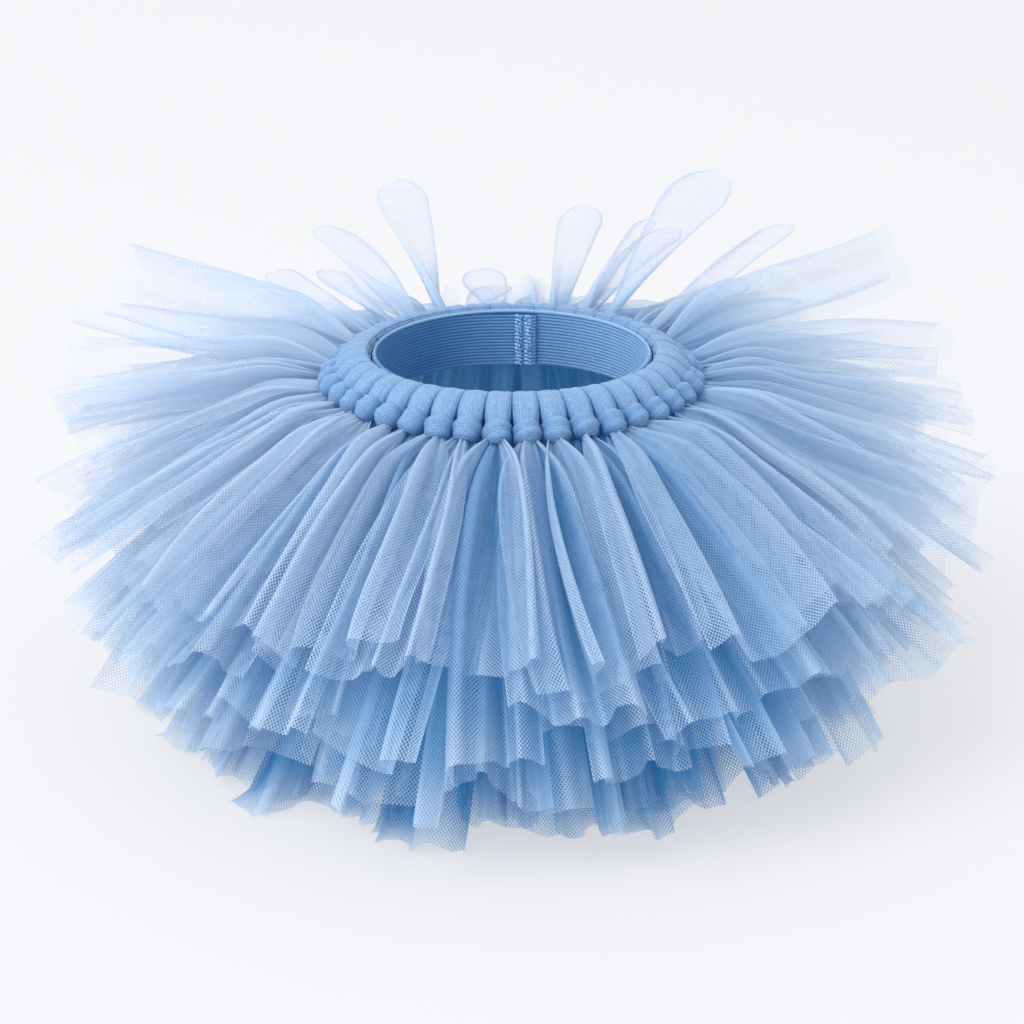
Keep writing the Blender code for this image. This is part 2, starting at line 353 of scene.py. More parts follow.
def grid_object(name, grids, closed=False):
    """One object of many grids of points, with UV maps and two values at every point.

    grids holds (points, uv, closeness, painted shading) with the shapes (rows, columns, 3),
    (rows, columns, 2) and twice (rows, columns). closed welds the seams.
    """
    points, uvs, closeness, painted_shading, faces = [], [], [], [], []
    start = 0
    for grid_points, grid_uv, grid_closeness, grid_painted_shading in grids:
        rows, columns = grid_closeness.shape
        index = start + np.arange(rows * columns).reshape(rows, columns)
        a, b = index[:-1, :-1], index[:-1, 1:]
        c, d = index[1:, 1:], index[1:, :-1]
        faces.append(np.stack((a, d, c, b), axis=-1).reshape(-1, 4))
        points.append(grid_points.reshape(-1, 3))
        uvs.append(grid_uv.reshape(-1, 2))
        closeness.append(grid_closeness.reshape(-1))
        painted_shading.append(grid_painted_shading.reshape(-1))
        start += rows * columns
    points = np.concatenate(points) * MM
    uvs = np.concatenate(uvs)
    faces = np.concatenate(faces)
    mesh = bpy.data.meshes.new(name)
    mesh.vertices.add(len(points))
    mesh.vertices.foreach_set("co", points.astype(np.float32).ravel())
    mesh.loops.add(faces.size)
    mesh.loops.foreach_set("vertex_index", faces.astype(np.int32).ravel())
    mesh.polygons.add(len(faces))
    mesh.polygons.foreach_set("loop_start", np.arange(0, faces.size, 4, dtype=np.int32))
    mesh.polygons.foreach_set("use_smooth", np.ones(len(faces), dtype=bool))
    across, down = uvs[:, 0] / NET_PITCH[0], uvs[:, 1] / NET_PITCH[1]
    weave = np.stack((across + down, across - down), axis=-1)
    for layer_name, flat in (("cloth", uvs), ("weave", weave)):
        layer = mesh.uv_layers.new(name=layer_name)
        layer.data.foreach_set("uv", flat[faces.ravel()].astype(np.float32).ravel())
    # painted_shading is painted shade above zero and painted light below zero.
    for attribute_name, values in (("closeness", closeness), ("painted_shading", painted_shading)):
        attribute = mesh.attributes.new(attribute_name, "FLOAT", "POINT")
        attribute.data.foreach_set("value", np.concatenate(values).astype(np.float32))
    mesh.update(calc_edges=True)
    mesh.validate()
    obj = bpy.data.objects.new(name, mesh)
    bpy.context.scene.collection.objects.link(obj)
    if closed:
        weld_seams(mesh)
    return obj


def weld_seams(mesh):
    """Joins the rows of points that meet at a tube's seam."""
    shape = bmesh.new()
    shape.from_mesh(mesh)
    bmesh.ops.remove_doubles(shape, verts=shape.verts, dist=WELD_DISTANCE)
    bmesh.ops.recalc_face_normals(shape, faces=shape.faces)
    shape.to_mesh(mesh)
    shape.free()


def fold_section(rng, along, folds, swing_end, root_share, phase=None):
    """Side and height of a pleated strip of cloth, row by row, as a zigzag of nearly flat faces."""
    across = np.linspace(0.0, 1.0, COLUMNS)[None, :]
    opened = 1.0 - (1.0 - along) ** rng.uniform(4.2, 6.4)
    count = rng.uniform(*folds)
    uneven = rng.uniform(0.2, 0.7)
    warp = uneven * np.sin(2.0 * math.pi * across + any_phase(rng)) / (2.0 * math.pi)
    drift = rng.uniform(-0.08, 0.08) * along
    if phase is None:
        phase = rng.uniform(0.0, 2.0 * math.pi)
    wave = 2.0 * math.pi * (count * (across + warp) + drift) + phase
    swing = ROOT_SWING + (rng.uniform(*swing_end) - ROOT_SWING) * along**0.7
    unlike = 2.0 * math.pi * across * rng.uniform(0.5, 1.3) + any_phase(rng)
    swing = swing * (1.0 + 0.16 * np.sin(unlike))
    crisp = rng.uniform(2.4, 4.6)
    creases = 2.0 * math.pi * (rng.uniform(3.2, 5.6) * (across + 0.5 * warp)) + any_phase(rng)
    angle = swing * np.tanh(crisp * np.sin(wave)) / math.tanh(crisp)
    angle = angle + rng.uniform(0.25, 0.6) * np.tanh(1.5 * np.sin(creases))
    step = CUT_WIDTH / (COLUMNS - 1)
    side = np.cumsum(np.cos(angle), axis=1) * step
    up = np.cumsum(np.sin(angle), axis=1) * step
    side -= side.mean(axis=1, keepdims=True)
    up -= up.mean(axis=1, keepdims=True)
    chord = np.arctan2(up[:, -1] - up[:, 0], side[:, -1] - side[:, 0])[:, None]
    side, up = turned(side, up, -chord)
    side *= root_share + (1.0 - root_share) * opened
    up *= 0.12 + 0.88 * opened
    selvage = clamped(1.0 - np.minimum(across, 1.0 - across) / SELVAGE)
    crease = np.maximum(np.exp(-((np.sin(wave) / 0.25) ** 2)), selvage)
    closeness = 0.42 * clamped(1.0 - opened) ** 1.1 + 0.32 * crease
    return side, up, closeness, crease


def tail_grid(rng, turn, start, droops, length, section, painted_shading, twist, bend,
              slant=0.0, sheerness=1.0, ragged=0.024):
    """One pleated tail of net: points, flat place in millimetres, closeness and painted shading."""
    along = np.linspace(0.0, 1.0, ROWS)[:, None]
    across = np.linspace(0.0, 1.0, COLUMNS)[None, :]
    # The scissors ran at a slant, which changes once or twice across the end.
    saw = (rng.uniform(0.8, 1.7) * across + rng.uniform(0.0, 1.0)) % 1.0
    cut = 2.0 * np.abs(2.0 * saw - 1.0) - 1.0
    reach = length * (1.0 + slant * (2.0 * across - 1.0) + ragged * cut)
    # Centre line: the droop grows or shrinks evenly from root to end.
    droop = np.radians(droops[0] + (droops[1] - droops[0]) * along[:, 0])
    mid = (droop[1:] + droop[:-1]) / 2
    out = np.concatenate(([0.0], np.cumsum(np.cos(mid)) / (ROWS - 1)))[:, None] * reach
    fall = np.concatenate(([0.0], np.cumsum(np.sin(mid)) / (ROWS - 1)))[:, None] * reach
    side, up, closeness, crease = fold_section(rng, along, *section)
    # Painted shade: darker in the folds' valleys.
    valley_painted_shade = clamped(0.5 - up / 9.0)
    ripples = rng.integers(8, 12)
    ripple = np.sin(2.0 * math.pi * ripples * across + any_phase(rng) + 2.0 * along)
    up = up + (0.36 * (1.0 - along) ** 2 + 0.04) * ripple
    sway = 2.0 * math.pi * (rng.uniform(0.6, 1.2) * along + rng.uniform(0.0, 1.0))
    up = up + 1.6 * np.sin(sway) * along
    side, up = turned(side, up, np.radians(twist * along))
    side = side + bend * along**2
    slope = droop[:, None]
    start_out, start_drop = start
    plan_out = start_out + out + up * np.sin(slope)
    puff = PUFF_RISE * np.sin(math.pi * clamped(along / PUFF_SHARE)) ** 2
    height = WAIST_TOP - start_drop - fall + (up + puff) * np.cos(slope)
    radius = (KNOT_HALF_WIDTH + KNOT_HALF_DEPTH) / 2 + plan_out
    points = place(turn + np.degrees(np.arctan2(side, radius)), 1.0, plan_out, height)
    flat = (across - 0.5) * CUT_WIDTH * np.ones((ROWS, 1)) + rng.uniform(0.0, 40.0)
    cloth = np.stack((flat, along * reach + rng.uniform(0.0, 40.0)), axis=-1)
    # The ends at the sides and the back hang free of one another: their holes open and painted
    # light from behind makes them pale.
    sheer = sheerness * clamped((abs(turn) - SHEER_FROM) / SHEER_WITHIN) * along**0.8
    closeness = np.clip(closeness - 0.28 * sheer, -0.25, 1.0)
    # Painted shade: tails in front are darker, more so in the deeper layers.
    front = (0.06 + 0.2 * painted_shading) * max(0.0, math.cos(math.radians(turn)))
    # Painted light: the light comes from the left, so the tails on the left are paler and those on
    # the right darker.
    painted_side_light = -0.16 * math.sin(math.radians(turn))
    # Painted shade in the ripples' troughs near the root.
    ripple_painted_shade = 0.35 * (1.0 - along) ** 2 * (0.5 - 0.5 * ripple)
    ends = clamped((along - END_FROM) / END_WITHIN)
    # Painted light on the roots of the deep layers, inside the waist.
    inner_painted_light = 0.35 * (painted_shading > INNER_LIGHT_FROM_SHADE) * (1.0 - along) ** 4
    # Painted shade fades at the ends, which hang clear.
    painted_shading = (painted_shading - inner_painted_light + front) * (1.08 - 0.85 * ends)
    painted_shading = painted_shading + 0.16 * valley_painted_shade + ripple_painted_shade - 0.12 * crease - painted_side_light
    # Below zero, the painted shading turns to the painted light colour, of net with light behind
    # it.
    painted_shading = np.clip(painted_shading * (1.0 - 0.8 * sheer) - 0.45 * sheer, -1.0, 1.0)
    return points, cloth, closeness, painted_shading


def loop_grid(rng, turn, tip_turn, rise, length, half_width, twist):
    """A tail folded back on itself: a soft flat tube with a rounded end, twisted near its root."""
    rows, columns = 29, 49
    along = 1.0 - (1.0 - np.linspace(0.0, 1.0, rows)[:, None]) ** 1.9
    around = np.linspace(0.0, 2.0 * math.pi, columns)[None, :]
    widest = 1.0 - 1.7 * half_width / length
    body = clamped(along / widest)
    end = clamped((along - widest) / (1.0 - widest))
    rounded = np.sqrt(np.clip(1.0 - end**2, 0.0004, 1.0))
    half = half_width * (0.28 + 0.72 * body**0.85) * rounded
    thick = (0.8 + 2.2 * np.sin(math.pi * clamped(along * 0.8 + 0.15))) * rounded
    side = half * np.cos(around)
    dent = 0.7 * np.sin(2.0 * around + 4.0 * along + any_phase(rng))
    up = thick * np.sin(around) + dent * rounded
    off_crease = (np.cos(around) - rng.uniform(-0.4, 0.4)) / 0.2
    crease = 1.6 * np.exp(-(off_crease**2)) * (1.0 - along)
    up = up - crease * np.sign(np.sin(around))
    curl = np.radians(twist) * (1.0 - along) ** 2.4 + math.radians(rng.uniform(-12.0, 12.0))
    side, up = turned(side, up, curl)
    arch = np.radians(rise + 10.0 * (0.5 - along))
    out = 3.0 + length * along * math.cos(math.radians(rise)) - up * np.sin(arch)
    lift = math.sin(math.radians(rise)) * along + 0.04 * np.sin(math.pi * along)
    height = WAIST_TOP - KNOT_DROP + 1.0 + length * lift + up * np.cos(arch)
    radius = (KNOT_HALF_WIDTH + KNOT_HALF_DEPTH) / 2 + out
    heading = turn + (tip_turn - turn) * (radius - radius.min()) / (radius.max() - radius.min())
    points = place(heading + np.degrees(np.arctan2(side, radius)), 1.0, out, height)
    flat = np.cos(around) * half_width + half_width * np.sign(np.sin(around)) * 2.0
    cloth = np.stack(np.broadcast_arrays(flat, along * length), axis=-1)
    gathered = clamped(1.0 - along / 0.45) ** 1.2
    edge = np.abs(np.cos(around)) ** 14
    closeness = np.clip(0.6 * gathered + 0.55 * edge - 0.22, -0.25, 1.0)
    # Painted shading: shade at the gathered root and along the edges, painted light from behind
    # elsewhere.
    return points, cloth, closeness, 1.1 * gathered + 0.15 * edge - 0.75


def tube_grid(centres, sides, ups, half_sides, half_ups, columns, ridges):
    """A closed tube through sections, each with its own centre, directions and half sizes."""
    around = np.linspace(0.0, 2.0 * math.pi, columns)[None, :]
    swell = 1.0 + ridges
    offset = (
        sides[:, None, :] * (half_sides[:, None] * np.cos(around) * swell)[..., None]
        + ups[:, None, :] * (half_ups[:, None] * np.sin(around) * swell)[..., None]
    )
    points = centres[:, None, :] + offset
    gaps = np.linalg.norm(np.diff(points, axis=1), axis=-1)
    rounds = np.concatenate((np.zeros((len(centres), 1)), np.cumsum(gaps, axis=1)), axis=1)
    lengths = run_lengths(centres)[:, None] * np.ones((1, columns))
    return points, np.stack((rounds, lengths), axis=-1)


# Path of a wrap from the elastic to its knot: share of the way, drop below the waist's top,
# half thickness, half width as a share of half the pitch, depth and narrowness of its creases.
WRAP_PATH = (
    (0.00, 1.5, 0.3, 1.06, 0.03, 6.0),
    (0.00, 1.9, 1.8, 1.06, 0.05, 6.0),
    (0.06, 2.5, 3.2, 1.06, 0.08, 6.0),
    (0.17, 2.7, 4.2, 1.06, 0.13, 5.0),
    (0.33, 3.0, 4.6, 1.06, 0.22, 4.2),
    (0.50, 4.2, 4.6, 1.05, 0.36, 3.4),
    (0.68, 6.4, 4.3, 1.00, 0.56, 2.7),
    (0.84, 9.0, 3.7, 0.88, 0.80, 2.3),
    (0.98, 11.2, 3.0, 0.72, 1.00, 2.0),
)


def wrap_grid(rng, turn):
    """The padded roll of one strip: smooth at the elastic, drawn in towards its knot."""
    rows, top, under = 25, 33, 13
    table = np.array(WRAP_PATH)
    spot = np.linspace(0.0, 1.0, rows)
    knots = np.linspace(0.0, 1.0, len(table))
    columns = (np.interp(spot, knots, column) for column in table.T)
    share, drop, half_up, width, crease, narrow = columns
    # In front the roll leans in over the elastic's edge.
    lean = max(0.0, math.cos(math.radians(turn))) ** 2 * clamped(1.0 - share / 0.5)
    centres = place(turn, share, 0.35 - 2.9 * lean, WAIST_TOP - drop + 0.3 + 0.8 * lean)
    direction = np.gradient(centres, axis=0)
    direction[:2] = direction[2]
    direction /= np.linalg.norm(direction, axis=1)[:, None]
    sides = np.broadcast_to(outward(turn + 90.0), centres.shape)
    ups = np.cross(direction, sides)
    ups *= np.sign(ups[:, 2:3] + 1e-9)
    radius = np.linalg.norm(centres[:, :2], axis=1)
    half_sides = width * radius * math.radians(PITCH / 2)
    over = -np.cos(np.linspace(0.0, math.pi, top))[None, :]
    below = np.cos(np.linspace(0.0, math.pi, under))[None, :]
    y_over = 1.0 - crease[:, None] * np.abs(over) ** narrow[:, None]
    swell = np.sin(5.0 * over + any_phase(rng) + spot[:, None])
    y_over = y_over + (0.02 + 0.04 * spot[:, None]) * swell
    y_over = y_over + 0.012 * np.sin(15.0 * over + any_phase(rng))
    y_below = -np.sqrt(1.0 - below**2) * np.ones((rows, 1))
    x = np.concatenate((over, below, over[:, :1]), axis=1) * np.ones((rows, 1))
    y = np.concatenate((y_over, y_below, y_over[:, :1]), axis=1)
    points = (
        centres[:, None, :]
        + sides[:, None, :] * (half_sides[:, None] * x)[..., None]
        + ups[:, None, :] * (half_up[:, None] * y)[..., None]
    )
    flat = np.broadcast_arrays(x * 6.0 + 30.0 * turn, run_lengths(centres)[:, None])
    cloth = np.stack(flat, axis=-1)
    # Painted shade: darker on the wrap's sides and underneath, more so towards the knot.
    painted_shading = (0.15 + 0.85 * spot[:, None]) * np.abs(x) ** 5 + 1.2 * clamped(-y)
    return points, cloth, np.zeros(x.shape), clamped(painted_shading)


def knot_grid(rng, turn):
    """One knot: cloth wound round the strip in a few slanting bands."""
    rows, columns = 23, 37
    spot = np.linspace(-1.0, 1.0, rows)
    slope = math.radians(rng.uniform(36.0, 46.0))
    axis = outward(turn) * math.cos(slope) - np.array((0.0, 0.0, math.sin(slope)))
    half_length = rng.uniform(5.6, 6.2)
    out = rng.uniform(-0.4, 0.6)
    middle = place(turn, 1.0, out, WAIST_TOP - KNOT_DROP - 0.6 + rng.uniform(-0.9, 0.9))
    centres = middle + axis * (spot * half_length)[:, None]
    across = outward(turn + 90.0)
    sides = np.broadcast_to(across, centres.shape)
    ups = np.broadcast_to(np.cross(across, axis) * -1.0, centres.shape)
    barrel = np.sqrt(1.0 - 0.82 * np.abs(spot) ** 2.4)
    around = np.linspace(0.0, 2.0 * math.pi, columns)[None, :]
    tilt = rng.uniform(-0.35, 0.35)
    bands = rng.uniform(1.4, 2.2)
    wind = math.pi * bands * (spot[:, None] + tilt * np.cos(around)) + any_phase(rng)
    ridges = 0.055 * np.sin(wind) + 0.012 * np.sin(3.4 * wind + 1.0)
    ridges = ridges + 0.03 * np.sin(around * 2.0 + any_phase(rng))
    half_sides = rng.uniform(5.7, 6.3) * barrel
    half_ups = rng.uniform(5.4, 6.0) * barrel
    points, cloth = tube_grid(centres, sides, ups, half_sides, half_ups, columns, ridges)
    # The wound threads run round the knot, so the cloth's length runs round it too.
    lean = tilt * half_length * np.cos(around)
    cloth = np.stack((cloth[..., 1] + lean, cloth[..., 0]), axis=-1)
    # Painted shade: darker on the knot's sides, underneath and towards its ends.
    painted_shading = 0.75 * np.abs(np.cos(around)) ** 3 + 0.5 * clamped(-np.sin(around))
    painted_shading = clamped(0.15 + painted_shading + 0.3 * np.abs(spot[:, None]) ** 4)
    return points, cloth, np.zeros(painted_shading.shape), painted_shading


def elastic_profile():
    """(inward radius offset, height) down the outside and up the ribbed inside, in millimetres."""
    ribs = 16
    per_rib = 5
    bottom = WAIST_TOP - ELASTIC_HEIGHT
    lip = 1.4
    # Over the top edge: how far inward, and how far above the waist's top.
    edge = (
        (0.0, -0.9), (0.3, -0.1), (0.7, 0.35), (1.2, 0.4), (1.6, 0.0), (1.65, -0.8), (1.3, -lip)
    )
    rows = [(0.0, bottom + 0.5)]
    rows += [(inset, WAIST_TOP + above) for inset, above in edge]
    pitch = (ELASTIC_HEIGHT - lip - 0.3) / ribs
    for index in range(ribs * per_rib + 1):
        height = WAIST_TOP - lip - pitch * index / per_rib
        bulge = abs(math.sin(math.pi * index / per_rib))
        rows.append((1.2 + 0.5 * bulge, height))
    rows += [(1.2, bottom + 0.05), (0.4, bottom), (0.0, bottom + 0.5)]
    return np.array(rows)


def elastic_painted_shade(turns, inset):
    """How much painted shade the elastic's inside gets: least on the side that faces the light."""
    return clamped(0.55 - 0.75 * np.sin(np.radians(turns))) * np.ones_like(inset)


def elastic_grid():
    """The elastic ring, with its ribs along the inside."""
    steps = 241
    turns = np.linspace(-180.0, 180.0, steps)[:, None]
    profile = elastic_profile()
    inset, height = profile[:, 0][None, :], profile[:, 1][None, :]
    points = place(turns, 0.0, -inset, height)
    around = math.radians(1.0) * WAIST_HALF_WIDTH * 0.95 * turns * np.ones_like(inset)
    runs = np.broadcast_to(run_lengths(profile)[None, :], around.shape)
    cloth = np.stack((around, runs), axis=-1)
    behind = clamped(0.5 - 0.8 * np.cos(np.radians(turns)))
    lip = clamped((height - WAIST_TOP + 0.9) / 0.9) * behind
    return points, cloth, lip, elastic_painted_shade(turns, inset)


# The lap: where it ends and starts across the back, and how far it lifts.
OVERLAP_END = 10.6
OVERLAP_START = -26.0
OVERLAP_THICKNESS = 1.55


def overlap_grid():
    """The elastic's end on the inside of the back: it rises from the ring and ends in a step."""
    steps = 33
    across = np.linspace(OVERLAP_START, OVERLAP_END, steps)
    across = np.append(across, (OVERLAP_END + 0.25, OVERLAP_END + 0.3))[:, None]
    lift = clamped((across - OVERLAP_START) / (-OVERLAP_START))
    lift = lift * lift * (3.0 - 2.0 * lift) * OVERLAP_THICKNESS
    lift[-2] *= 0.85
    lift[-1] = -0.2
    turns = 180.0 - np.degrees(np.arcsin(across / WAIST_HALF_WIDTH))
    profile = elastic_profile()[6:-2]
    inset = profile[:, 0][None, :] + lift - 0.02
    height = profile[:, 1][None, :] * np.ones_like(lift)
    points = place(turns, 0.0, -inset, height)
    cloth = np.stack(np.broadcast_arrays(across, run_lengths(profile)[None, :]), axis=-1)
    return points, cloth, np.zeros(inset.shape), elastic_painted_shade(turns, inset)


# The zigzag join on the lap: place across the lap of each of its two columns, how far inside the
# elastic's outside they lie, stitches in a column, and the most that they slant, in radians.
STITCH_COLUMNS = (3.0, 7.4)
STITCH_INSET = 3.2
STITCHES = 14
STITCH_SLANT = 0.5
# A stitch's size across the lap, out from it and down it, as shares of its radius.
STITCH_SHAPE = (2.35, 0.85, 1.0)


def stitch_paths():
    """One object of two edge paths down the lap, which the join's stitches follow."""
    heights = np.linspace(WAIST_TOP - 2.2, WAIST_TOP - ELASTIC_HEIGHT + 1.0, 6)
    points, edges = [], []
    for across in STITCH_COLUMNS:
        start = len(points)
        turn = 180.0 - math.degrees(math.asin(across / WAIST_HALF_WIDTH))
        points += [tuple(place(turn, 0.0, -STITCH_INSET, height) * MM) for height in heights]
        edges += [(start + index, start + index + 1) for index in range(len(heights) - 1)]
    mesh = bpy.data.meshes.new("join_stitches")
    mesh.from_pydata(points, edges, [])
    obj = bpy.data.objects.new("join_stitches", mesh)
    bpy.context.scene.collection.objects.link(obj)
    return obj


def stitch_tree(material):
    """Geometry nodes: slanting thread bumps along each path."""
    tree = bpy.data.node_groups.new("join_stitches", "GeometryNodeTree")
    face = tree.interface
    face.new_socket("Paths", in_out="INPUT", socket_type="NodeSocketGeometry")
    sockets = {
        "Stitches": face.new_socket("Stitches", in_out="INPUT", socket_type="NodeSocketInt"),
        "Radius": face.new_socket("Radius", in_out="INPUT", socket_type="NodeSocketFloat"),
        "Slant": face.new_socket("Slant", in_out="INPUT", socket_type="NodeSocketFloat"),
    }
    face.new_socket("Stitches", in_out="OUTPUT", socket_type="NodeSocketGeometry")
    entry = tree.nodes.new("NodeGroupInput")
    result = tree.nodes.new("NodeGroupOutput")

    def node(kind, **inputs):
        made = tree.nodes.new(kind)
        for key, value in inputs.items():
            socket = made.inputs[key.replace("_", " ")]
            if isinstance(value, bpy.types.NodeSocket):
                tree.links.new(value, socket)
            else:
                socket.default_value = value
        return made

    curve = node("GeometryNodeMeshToCurve", Mesh=entry.outputs["Paths"])
    count = entry.outputs["Stitches"]
    spaced = node("GeometryNodeResampleCurve", Curve=curve.outputs[0], Count=count)
    radius = entry.outputs["Radius"]
    bump = node("GeometryNodeMeshUVSphere", Segments=14, Rings=9, Radius=radius)
    least = node("ShaderNodeMath", Value=entry.outputs["Slant"])
    least.operation = "MULTIPLY"
    least.inputs[1].default_value = 0.4
    slant = tree.nodes.new("FunctionNodeRandomValue")
    slant.data_type = "FLOAT"
    tree.links.new(least.outputs[0], slant.inputs[2])
    tree.links.new(entry.outputs["Slant"], slant.inputs[3])
    slant.inputs["Seed"].default_value = 3
    angles = tree.nodes.new("ShaderNodeCombineXYZ")
    tree.links.new(slant.outputs[1], angles.inputs["Y"])
    placed = node(
        "GeometryNodeInstanceOnPoints",
        Points=spaced.outputs[0],
        Instance=bump.outputs["Mesh"],
        Rotation=angles.outputs[0],
        Scale=STITCH_SHAPE,
    )
    real = node("GeometryNodeRealizeInstances", Geometry=placed.outputs[0])
    smooth = node("GeometryNodeSetShadeSmooth", Geometry=real.outputs[0])
    painted = node("GeometryNodeSetMaterial", Geometry=smooth.outputs[0], Material=material)
    tree.links.new(painted.outputs[0], result.inputs[0])
    return tree, {name: socket.identifier for name, socket in sockets.items()}


def stitches(material, radius):
    """The join's stitches as one plain mesh."""
    obj = stitch_paths()
    tree, identifiers = stitch_tree(material)
    modifier = obj.modifiers.new("join_stitches", "NODES")
    modifier.node_group = tree
    inputs = {"Stitches": STITCHES, "Radius": radius, "Slant": STITCH_SLANT}
    for name, value in inputs.items():
        modifier[identifiers[name]] = value
    bpy.context.view_layer.update()
    graph = bpy.context.evaluated_depsgraph_get()
    made = bpy.data.meshes.new_from_object(obj.evaluated_get(graph))
    obj.modifiers.remove(modifier)
    paths = obj.data
    obj.data = made
    bpy.data.meshes.remove(paths)
    return obj


def thread_material(settings):
    """Twisted thread of the join."""
    material = bpy.data.materials.new("join_thread")
    tree = Tree(material)
    place_in = tree.node("ShaderNodeTexCoord", output="Object")
    noise = tree.noise(place_in, 1400.0)
    share = tree.ramp(noise, 0.35, 0.65)
    base = tree.mix(share, settings.elastic_colour, settings.elastic_light_colour)
    height = tree.bump(noise, 0.0003, 0.8)
    tree.finish(tree.principled(Base_Color=base, Roughness=0.7, Normal=height))
    return material


def colour_of(red, green, blue):
    """Linear colour of 0 to 255 display values."""
    return tuple(
        value / 12.92 if value <= 0.04045 else ((value + 0.055) / 1.055) ** 2.4
        for value in (red / 255.0, green / 255.0, blue / 255.0)
    ) + (1.0,)


def net_material(settings):
    """Net with diamond holes, which are smaller where the cloth is gathered."""
    material = bpy.data.materials.new("tulle_net")
    tree = Tree(material)
    weave = tree.node("ShaderNodeUVMap", uv_map="weave")
    cell = tree.vector("SUBTRACT", tree.vector("FRACTION", weave), (0.5, 0.5, 0.0))
    across, down = tree.split(tree.vector("ABSOLUTE", cell))
    distance = across.math("MAXIMUM", down)
    closed = tree.attribute("closeness") * settings.hole_share * 0.9
    thread = (distance + closed).math("GREATER_THAN", settings.hole_share)
    painted_shading = tree.attribute("painted_shading")
    # Painted shading: above zero towards the painted shade colour, below zero towards the painted
    # light colour.
    net_with_painted_light = tree.mix(painted_shading * -1.0, settings.thread_colour, settings.painted_light_colour)
    base = tree.mix(painted_shading, net_with_painted_light, settings.painted_shade_colour)
    principled = tree.principled(
        Base_Color=base,
        Roughness=0.7,
        Specular_IOR_Level=0.1,
        Sheen_Weight=0.08,
        Sheen_Roughness=0.45,
        # Light that reaches the depth of the layers after many more bounces than are traced.
        Emission_Color=tree.mix(painted_shading, (0.0, 0.0, 0.0, 1.0), settings.glow_colour),
        Emission_Strength=1.0,
    )
    through = tree.node("ShaderNodeBsdfTranslucent", {"Color": base})
    cloth_shader = tree.node("ShaderNodeMixShader", (0.45, principled, through))
    clear = tree.node("ShaderNodeBsdfTransparent")
    tree.finish(tree.node("ShaderNodeMixShader", (thread, clear, cloth_shader)))
    # Its weak glow is found by paths, so its faces aren't lamps.
    material.cycles.emission_sampling = "NONE"
    return material


def bundle_material(settings):
    """Gathered cloth: fine uneven threads along the bundle."""
    material = bpy.data.materials.new("tulle_bundle")
    tree = Tree(material)
    cloth = tree.node("ShaderNodeUVMap", uv_map="cloth")
    stretched = tree.vector("MULTIPLY", cloth, (0.5, 0.09, 1.0))
    wander = tree.noise(stretched, 1.0)
    across, _ = tree.split(cloth)
    strands = (across * (2.0 * math.pi / BUNDLE_PITCH) + wander * 11.0).math("SINE")
    fine = tree.noise(tree.vector("MULTIPLY", cloth, (2.6, 0.9, 1.0)), 1.0)
    relief = strands * 0.2 + fine
    # Painted shade on the roll and the knots mixes the threads towards the crease colour.
    share = tree.ramp(relief, 0.0, 0.8) * (1.0 - 0.8 * tree.attribute("painted_shading"))
    base = tree.mix(share, settings.bundle_colour, settings.bundle_light_colour)
    height = tree.bump(relief, THREAD_BUMP)
    tree.finish(
        tree.principled(
            Base_Color=base,
            Roughness=0.7,
            Specular_IOR_Level=0.2,
            Sheen_Weight=0.12,
            Sheen_Roughness=0.5,
            Normal=height,
        )
    )
    return material


def elastic_material(settings):
    """Fine slanting stitches over the ribs."""
    material = bpy.data.materials.new("elastic_knit")
    tree = Tree(material)
    cloth = tree.node("ShaderNodeUVMap", uv_map="cloth")
    across, down = tree.split(cloth)
    slanted = (across * 9.0 + down * 7.0).math("SINE")
    relief = slanted * 0.35 + tree.noise(cloth, 2.2)
    # The grids give the lip as closeness, and the painted shade inside the ring as painted shading.
    share = tree.ramp(relief, 0.1, 1.0) * (1.0 - 0.72 * tree.attribute("painted_shading"))
    base = tree.mix(share, settings.elastic_colour, settings.elastic_light_colour)
    base = tree.mix(tree.attribute("closeness"), base, settings.lip_colour)
    height = tree.bump(relief, THREAD_BUMP)
    tree.finish(
        tree.principled(
            Base_Color=base, Roughness=0.6, Specular_IOR_Level=0.3, Sheen_Weight=0.05, Normal=height
        )
    )
    return material


def colour_property(name, description, default):
    """A colour that the panel shows."""
    return bpy.props.FloatVectorProperty(
        name=name,
        description=description,
        default=default,
        size=4,
        min=0.0,
        max=1.0,
        subtype="COLOR",
    )


class TutuNetSettings(bpy.types.PropertyGroup):
    """Sizes and colours of the net."""

    hole_share: bpy.props.FloatProperty(
        name="Hole size",
        description="Half a hole's width as a share of its mesh",
        default=0.38,
        min=0.1,
        max=0.5,
        subtype="FACTOR",
    )
    thread_colour: colour_property("Thread", "Colour of the open net", colour_of(189, 212, 233))
    # Painted light: the colour of net with light behind it, for the pale sheer ends.
    painted_light_colour: colour_property(
        "Sheer", "Colour of net with light behind it", colour_of(210, 217, 233)
    )
    # Painted shade: the net's colour deep between the layers.
    painted_shade_colour: colour_property("Deep", "Colour deep between the layers", colour_of(60, 134, 187))
    glow_colour: colour_property(
        "Deep glow", "Light passed on deep in the layers", (0.012, 0.1, 0.19, 1.0)
    )
    seed: bpy.props.IntProperty(
        name="Seed", description="Order of the uneven folds", default=11, min=0
    )


